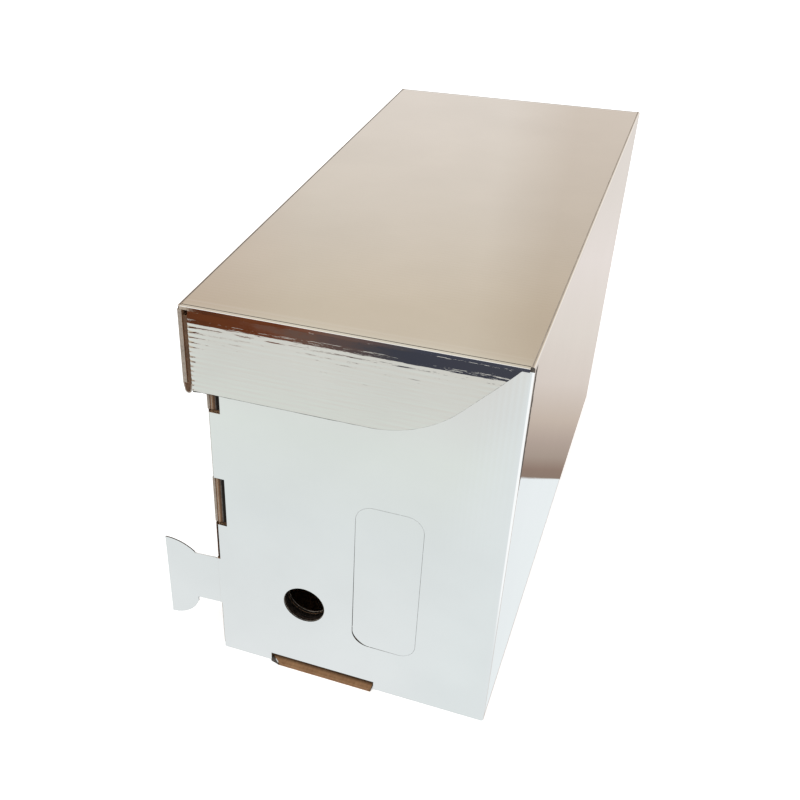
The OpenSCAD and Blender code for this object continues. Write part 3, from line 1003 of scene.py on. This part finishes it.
# The lining is painted in shade: its rim and core here, and the caps of its pressed ends below, are dark.
flat_board("lid_skirt_lining", "skirt", X, Y, skins=Skins(rim=PAINTED_DARK, edge=CORE, core=DEEP))
(skirt_left, skirt_front, foot), (skirt_right, skirt_rear, head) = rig.box("lid_skirt_fold")
foot_centre = ((skirt_left + skirt_right) / 2, foot + FOOT_R)
section = [(skirt_left, head), *half_round(foot_centre, FOOT_R), (skirt_right, head)]
# The fold's caps are painted in shade.
fold = prism("skirt_foot_fold", section, backed(section, 1), along_y, skirt_front, skirt_rear, DEEP)
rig.replaces(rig.ride(fold, "skirt"), "lid_skirt_fold")
bowl = [(skirt_left + PROUD, head), *half_round(foot_centre, FOOT_R - PROUD), (skirt_right - PROUD, head),
        (skirt_right - RIM, head), *reversed(half_round(foot_centre, FOOT_R - RIM)), (skirt_left + RIM, head)]
for side, end in ENDS:
    for node, skin in (("lid_skirt", WORN_AND_PAINTED_LIGHT), ("lid_skirt_lining", DEEP)):
        low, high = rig.box(node)
        near, far = sorted((side * (high.y - PRESSED), side * (high.y + PROUD)))
        section = [(low.x + TOUCH, low.z), (high.x - TOUCH, low.z), (high.x - TOUCH, high.z), (low.x + TOUCH, high.z)]
        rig.ride(prism(f"{node}_{end}_edge", section, KRAFT, along_y, near, far, skin), "skirt")
    near, far = sorted((side * (skirt_rear - PRESSED), side * (skirt_rear + PROUD)))
    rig.ride(prism(f"skirt_foot_{end}_edge", bowl, KRAFT, along_y, near, far, WORN_AND_PAINTED_LIGHT), "skirt")


# Creases of the lid, which bend with their joints

CREASE_R, DARK_LINE_WIDE = 1.4 * MM, 0.8 * MM


def lid_crease(name, edge, inward, place, span, body, foot, tilt=0, drop=0, crack=PAINTED_DARK):
    """Crease of the lid, with a painted dark line beside it that stands for a dark reflection: round outside, down to
    the head of what hangs from it, which leans back by tilt there. Where nothing hangs from it, its body is the lid
    and it doesn't bend."""
    top, inner = LID[1].z - drop, edge + inward * FOLD_R
    start = top - CREASE_R * (1 - math.sin(tilt))
    lean = edge + inward * (start - foot) * math.tan(tilt)
    centre = (lean + inward * CREASE_R * math.cos(tilt), start - CREASE_R * math.sin(tilt))
    section = [(inner, top), (centre[0] + inward * DARK_LINE_WIDE, top), *arc(centre, (centre[0], top), (lean, start))]
    section += [(edge, foot), (inner, foot)]
    fold = prism(name, section, backed(section, 2, {1: crack}), place, *span, PAINTED_DARK)
    if body == "lid":
        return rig.ride(fold, body)
    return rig.blend(fold, "lid", body, start=place(inner, LID[1].z, 0), end=place(edge, foot, 0))


lid_x = (LID[0].x + CREASE_R, LID[1].x - FOLD_R)
lid_y = LID[1].y - CREASE_R
bow_tilt = math.asin((FLAP[1].z - BOW_Z) / BOW_R)
for end, edge, inward in (("front", LID[0].y, 1), ("rear", LID[1].y, -1)):
    for part, span, body, foot in (("_crease", (FLAP[0].x, lid_x[1]), end + "_flap", FLAP[1].z),
                                   ("_corner_crease", (lid_x[0], FLAP[0].x - TOUCH), "lid", FLAP[1].z + NEAR)):
        lid_crease(end + part, edge, inward, along_x, span, body, foot, bow_tilt, EDGE_DROP)
lid_crease("skirt_crease_fold", LID[0].x, 1, along_y, (-lid_y, lid_y), "skirt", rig.box("lid_skirt")[1].z)
# The hinge's painted dark line takes the lighter worn edge tone.
lid_crease("hinge_crease", LID[1].x, -1, along_y, (-lid_y, lid_y), "carcass", RIGHT[1].z, crack=WORN_AND_PAINTED_LIGHT)
for side, end in ENDS:
    spot = Vector((lid_x[0], side * lid_y, LID[1].z - CREASE_R))
    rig.ride(corner_ball("lid_corner_left_" + end, spot, (-1, side, 1), CREASE_R), "lid")


# Lock tongues, crushed thin along their cut edges, and the film round their creases

EDGE_KEEPS, EDGE_WIDE, TONGUE_HEAD, NECK_BEAD = 0.34, 5 * MM, 25 * MM, 0.55 * MM
# How far the neck's cuts reach into the head, and how deep the beads along them sink, in radii
NECK_PLAY, NECK_SUNK = 1.5 * MM, 0.7


def tongue(end, side, bend):
    """Tongue turned by bend from its panel's plane; its flutes stand upright."""
    node, body = end + "_lock_tongue", end + "_tongue"
    turn = Matrix.Rotation(bend, 3, "Z")
    normal, across = turn @ (Y * side), turn @ X
    along = normal.cross(across)
    loop = [Vector((across.dot(p), along.dot(p))) for p in outline(node, normal)[0]]
    root = max(p.x for p in loop)
    head = min(p.x for p in loop) + TONGUE_HEAD
    cuts = [(a, b) for a, b in zip(loop, loop[1:] + loop[:1]) if min(a.x, b.x) < root - NEAR]

    def press(u, v):
        p, nearest = Vector((u, v)), EDGE_WIDE
        for a, b in cuts:
            f = min(max((p - a).dot(b - a) / (b - a).length_squared, 0), 1)
            nearest = min(nearest, (p - a.lerp(b, f)).length)
        return EDGE_KEEPS + (1 - EDGE_KEEPS) * math.sin(math.pi / 2 * nearest / EDGE_WIDE)

    # Cut edges: pale film with a painted highlight on the neck, painted dark shade on the head.
    def cut_edge(points):
        return PALE if max(across.dot(p) for p in points) > head else PAINTED_DARK

    flat_board(node, body, normal, across, shares=equal_shares(24), press=press,
               skins=Skins(rim=cut_edge, edge=cut_edge))
    reach = max(normal.dot(v.co) for v in frame["nodes"][node].data.vertices)
    waist = sum(p.y for p in loop) / len(loop)
    # Beads of pale film along the neck's cuts, their pale tone a painted highlight.
    for a, b in cuts:
        if min(a.x, b.x) > head - NECK_PLAY:
            sunk = Vector((0, -math.copysign(NECK_BEAD * NECK_SUNK, a.y - waist)))
            path = [across * q.x + along * q.y + normal * reach for q in (a + sunk, b + sunk)]
            name = f"{node}_{'upper' if a.y > waist else 'lower'}_film"
            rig.ride(bead(name, path, lambda p: NECK_BEAD, normal, PALE), body)


# How far the tongues are bent at rest
BENDS = (math.radians(JOINTS["front_tongue_crease"]["range_deg"][1] - 90), math.radians(90))
for (side, end), bend in zip(ENDS, BENDS):
    tongue(end, side, bend)

# The creases' film: its play, thickness, flanges and steps, and how far it stays inside the tongue's neck
CREASE_OFF, CREASE_THIN, FLANGE, CREASE_STEPS, CREASE_IN = 0.03 * MM, 0.2 * MM, 1.1 * MM, 6, 0.2 * MM


def tongue_crease(end, side, angle):
    """Film that runs round a tongue's crease on the outer face, turned by angle at rest."""
    pivot = Vector(JOINTS[end + "_tongue_crease"]["pos_m"])
    points = [v.co for v in frame["nodes"][end + "_lock_tongue"].data.vertices]
    near = [p.z for p in points if (p - pivot).to_2d().length < 1.5 * BOARD]
    low, high = min(near) + CREASE_IN, max(near) - CREASE_IN
    out = BOARD + CREASE_OFF

    def radial(a):
        return Vector((-math.sin(a), side * math.cos(a), 0))

    def tangent(a):
        return Vector((-math.cos(a), -side * math.sin(a), 0))

    shares = equal_shares(CREASE_STEPS)
    stations = [(0, FLANGE * (f - 1)) for f in shares[:-1]]
    stations += [(angle * f, 0) for f in shares]
    stations += [(angle, FLANGE * f) for f in shares[1:]]
    shell, rows = Shell(), []
    for a, shift in stations:
        spots = [pivot.xy.to_3d() + radial(a) * r + tangent(a) * shift for r in (out, out - CREASE_THIN)]
        rows.append([[shell.point(spot + Z * z) for z in (low, high)] for spot in spots])
    for a, b in zip(rows, rows[1:]):
        shell.face([a[0][0], a[0][1], b[0][1], b[0][0]], FILM)
        shell.face([a[1][0], a[1][1], b[1][1], b[1][0]], KRAFT)
        for e in (0, 1):
            shell.face([a[0][e], b[0][e], b[1][e], a[1][e]], KRAFT)
    for row in (rows[0], rows[-1]):
        shell.face([row[0][0], row[0][1], row[1][1], row[1][0]], KRAFT)
    made = shell.piece(end + "_tongue_crease_film")
    ends = [pivot + radial(a) * out + tangent(a) * shift for a, shift in ((0, -FLANGE), (angle, FLANGE))]
    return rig.blend(made, "carcass", end + "_tongue", start=ends[0], end=ends[1])


for (side, end), bend in zip(ENDS, BENDS):
    tongue_crease(end, side, side * bend)


# Grille

grille = frame["nodes"]["vent_grille"]
grille.data.materials.clear()
grille.data.materials.append(plastic_material())
rounding = grille.modifiers.new("edge", "BEVEL")
rounding.width = 0.2 * MM
rounding.segments = 2
rounding.limit_method = "ANGLE"


# Surroundings: white to the camera, a pale floor sheet and a warm room to the film

# The pale sheet that the box stands on, as the film shows it: start and direction of its right edge, its front and
# left edges, and how far the floor's tones reach beyond it
SHEET_CORNER = Vector((0.1092, 0.0809, 0))
SHEET_EDGE = Vector((0.9513, -0.3082, 0))
SHEET_FRONT, SHEET_LEFT, BEYOND_REACH = -1.02, -1.1, 0.75
# Where the fan of dark things beyond its front edge opens from, and how much wider it is in the room
FAN, ROOM_FAN = Vector((0.1715, 0.274, 0)), 1.159
FLOOR_REACH = 12


def dark_fan(tree, fan):
    """Tones of the dark things in front of the box, by their direction."""
    return tree.ramp(fan, [
        (0.0, (0.60, 0.58, 0.56)), (0.10, (0.066, 0.069, 0.090)), (0.15, (0.061, 0.064, 0.087)),
        (0.25, (0.055, 0.059, 0.082)), (0.28, (0.078, 0.073, 0.082)), (0.30, (0.108, 0.077, 0.077)),
        (0.36, (0.155, 0.094, 0.076)), (0.395, (0.176, 0.070, 0.043)), (0.42, (0.138, 0.040, 0.017)),
        (0.46, (0.152, 0.046, 0.018)), (0.52, (0.096, 0.031, 0.014)), (0.54, (0.096, 0.031, 0.014)),
        (0.55, (0.60, 0.52, 0.42))])


def make_world():
    world = bpy.data.worlds.new("surroundings")
    bpy.context.scene.world = world
    tree = Tree(world)
    tree.nodes.clear()
    rays = tree.rays()
    x, y, up = tree.axes(tree.coordinates("Generated"))
    room = tree.ramp(up, [(0.0, (0.92, 0.86, 0.80)), (0.28, (0.83, 0.755, 0.685)), (0.38, (0.755, 0.675, 0.585)),
                           (0.46, (0.68, 0.585, 0.465)), (0.75, (0.80, 0.74, 0.62))])
    sides = tree.ramp(tree.calc("MULTIPLY_ADD", x, 0.5, 0.5), [
        (0.275, (0.86, 0.80, 0.78)), (0.335, (0.96, 0.96, 0.955)), (0.375, grey(0.985)), (0.415, grey(0.985)),
        (0.445, (0.86, 0.83, 0.80)), (0.52, (0.90, 0.87, 0.84)), (0.65, grey(1.15))])
    room = tree.tint(room, sides)
    bright = tree.times(tree.fade(y, -0.2, -0.5), tree.fade(up, 0.6, 0.4))
    room = tree.mix(bright, room, (1.12, 1.10, 1.06))
    low = tree.times(tree.fade(up, 0.12, 0.09), tree.fade(y, -0.4, -0.6))
    room = tree.mix(low, room, dark_fan(tree, tree.times(tree.calc("DIVIDE", x, y), ROOM_FAN)))
    soft, white = tree.shader("Background", grey(0.62)), tree.shader("Background", grey(1))
    light = tree.choose(rays["Is Glossy Ray"], soft, tree.shader("Background", room))
    shown = tree.choose(rays["Is Camera Ray"], light, white)
    tree.put(shown, tree.new("OutputWorld").inputs["Surface"])


def make_floor():
    mesh = bpy.data.meshes.new("floor")
    corners = [(sx * FLOOR_REACH, sy * FLOOR_REACH, 0) for sx, sy in ((-1, -1), (1, -1), (1, 1), (-1, 1))]
    mesh.from_pydata(corners, [], [(0, 1, 2, 3)])
    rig.stage(add_object("floor", mesh))
    made = bpy.data.materials.new("floor_sheet")
    mesh.materials.append(made)
    tree = Tree(made)
    tree.nodes.remove(tree.nodes["Principled BSDF"])
    rays, spot = tree.rays(), tree.coordinates("Object")
    x, y, _ = tree.axes(spot)

    # What the film mirrors: the sheet, what lies right of it and the dark things in front of it
    inward = Vector((SHEET_EDGE.y, -SHEET_EDGE.x, 0))
    across = tree.calc("MULTIPLY_ADD", x, inward.x, -inward.dot(SHEET_CORNER))
    across = tree.calc("MULTIPLY_ADD", y, inward.y, across)
    sheet = tree.times(tree.fade(across, -0.001, 0.001), tree.fade(y, SHEET_FRONT - 0.01, SHEET_FRONT + 0.01))
    sheet = tree.times(sheet, tree.fade(x, SHEET_LEFT - 0.05, SHEET_LEFT + 0.05))
    beyond = tree.ramp(tree.calc("MULTIPLY", across, -1 / BEYOND_REACH, clamp=True), [
        (0.0, (0.27, 0.20, 0.16)), (0.02, (0.29, 0.21, 0.17)), (0.05, (0.40, 0.325, 0.275)),
        (0.085, (0.46, 0.375, 0.325)), (0.14, (0.58, 0.49, 0.42)), (0.245, (0.71, 0.635, 0.58)),
        (0.40, (0.765, 0.705, 0.65)), (0.68, (0.82, 0.755, 0.72)), (1.0, (0.78, 0.725, 0.68))])
    fan = tree.calc("DIVIDE", tree.calc("SUBTRACT", x, FAN.x), tree.calc("SUBTRACT", y, FAN.y))
    beyond = tree.mix(tree.fade(y, SHEET_FRONT + 0.02, SHEET_FRONT - 0.02), beyond, dark_fan(tree, fan))
    pale = tree.ramp(tree.calc("MULTIPLY", y, -1, clamp=True), [
        (0.25, (0.855, 0.89, 0.90)), (0.42, (0.806, 0.853, 0.855)), (0.56, (0.785, 0.832, 0.80)),
        (0.66, (0.78, 0.795, 0.775)), (0.80, (0.77, 0.765, 0.735))])
    for left, right, colour in ((0.0, 0.09, (0.84, 0.892, 0.90)), (0.09, 0.125, (0.85, 0.895, 0.91)),
                                (0.16, 0.26, (1.12, 1.14, 1.15))):
        pale = tree.mix(tree.fade(x, left, right), pale, colour)
    mirrored = tree.shader("Emission", tree.mix(sheet, beyond, pale))

    # What the camera sees: paper with the box's shadow, lifted to white
    paper = tree.shader("BsdfDiffuse", grey(0.9))
    away = tree.new("VectorMath")
    away.operation = "LENGTH"
    tree.put(spot, away.inputs[0])
    lift = tree.shader("Emission", tree.ramp(away.outputs["Value"], [(0.35, grey(0.42)), (0.95, grey(0.62))]))
    lifted = tree.feed(tree.new("AddShader"), paper, lift)
    seen = tree.choose(rays["Is Camera Ray"], paper, lifted)
    shown = tree.choose(rays["Is Glossy Ray"], seen, mirrored)
    tree.put(shown, tree.nodes["Material Output"].inputs["Surface"])


def soft_lamp(name, place, target, size, power):
    data = bpy.data.lights.new(name, "AREA")
    data.shape, data.size, data.energy = "DISK", size, power
    lamp = add_object(name, data)
    lamp.location = place
    lamp.rotation_euler = (Vector(target) - Vector(place)).to_track_quat("-Z", "Y").to_euler()
    lamp.visible_glossy = False


# Camera fitted to the photo: frame, focal length and centre in pixels, place, and heading, pitch and roll
PHOTO_PX, FOCAL_PX, CENTRE_PX = 800, 1026.9, (278.7, 472.3)
CAMERA_PLACE, CAMERA_TURN = (0.17145, -0.7743, 0.6172), (23.204, 53.475, -1.334)
SENSOR = 36


def make_camera():
    data = bpy.data.cameras.new("camera")
    data.sensor_width = SENSOR
    data.lens = SENSOR * FOCAL_PX / PHOTO_PX
    data.shift_x = (PHOTO_PX / 2 - CENTRE_PX[0]) / PHOTO_PX
    data.shift_y = (CENTRE_PX[1] - PHOTO_PX / 2) / PHOTO_PX
    camera = add_object("camera", data)
    heading, pitch, roll = (Matrix.Rotation(math.radians(a), 4, axis) for a, axis in zip(CAMERA_TURN, "ZXZ"))
    camera.matrix_world = Matrix.Translation(CAMERA_PLACE) @ (heading @ pitch @ roll)
    bpy.context.scene.camera = camera


make_world()
make_floor()
soft_lamp("key", (-0.9, -1.5, 1.9), (0, 0, 0.1), 1.6, 28)
soft_lamp("fill", (1.6, 0.6, 1.6), (0, 0, 0.1), 1.6, 14)
make_camera()
bpy.context.scene.view_settings.view_transform = "Standard"

low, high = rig.bounds()
with open("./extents.json", "w") as sizes:
    json.dump({"cad": [list(cad_low), list(cad_high)], "visual": [list(low), list(high)]}, sizes)
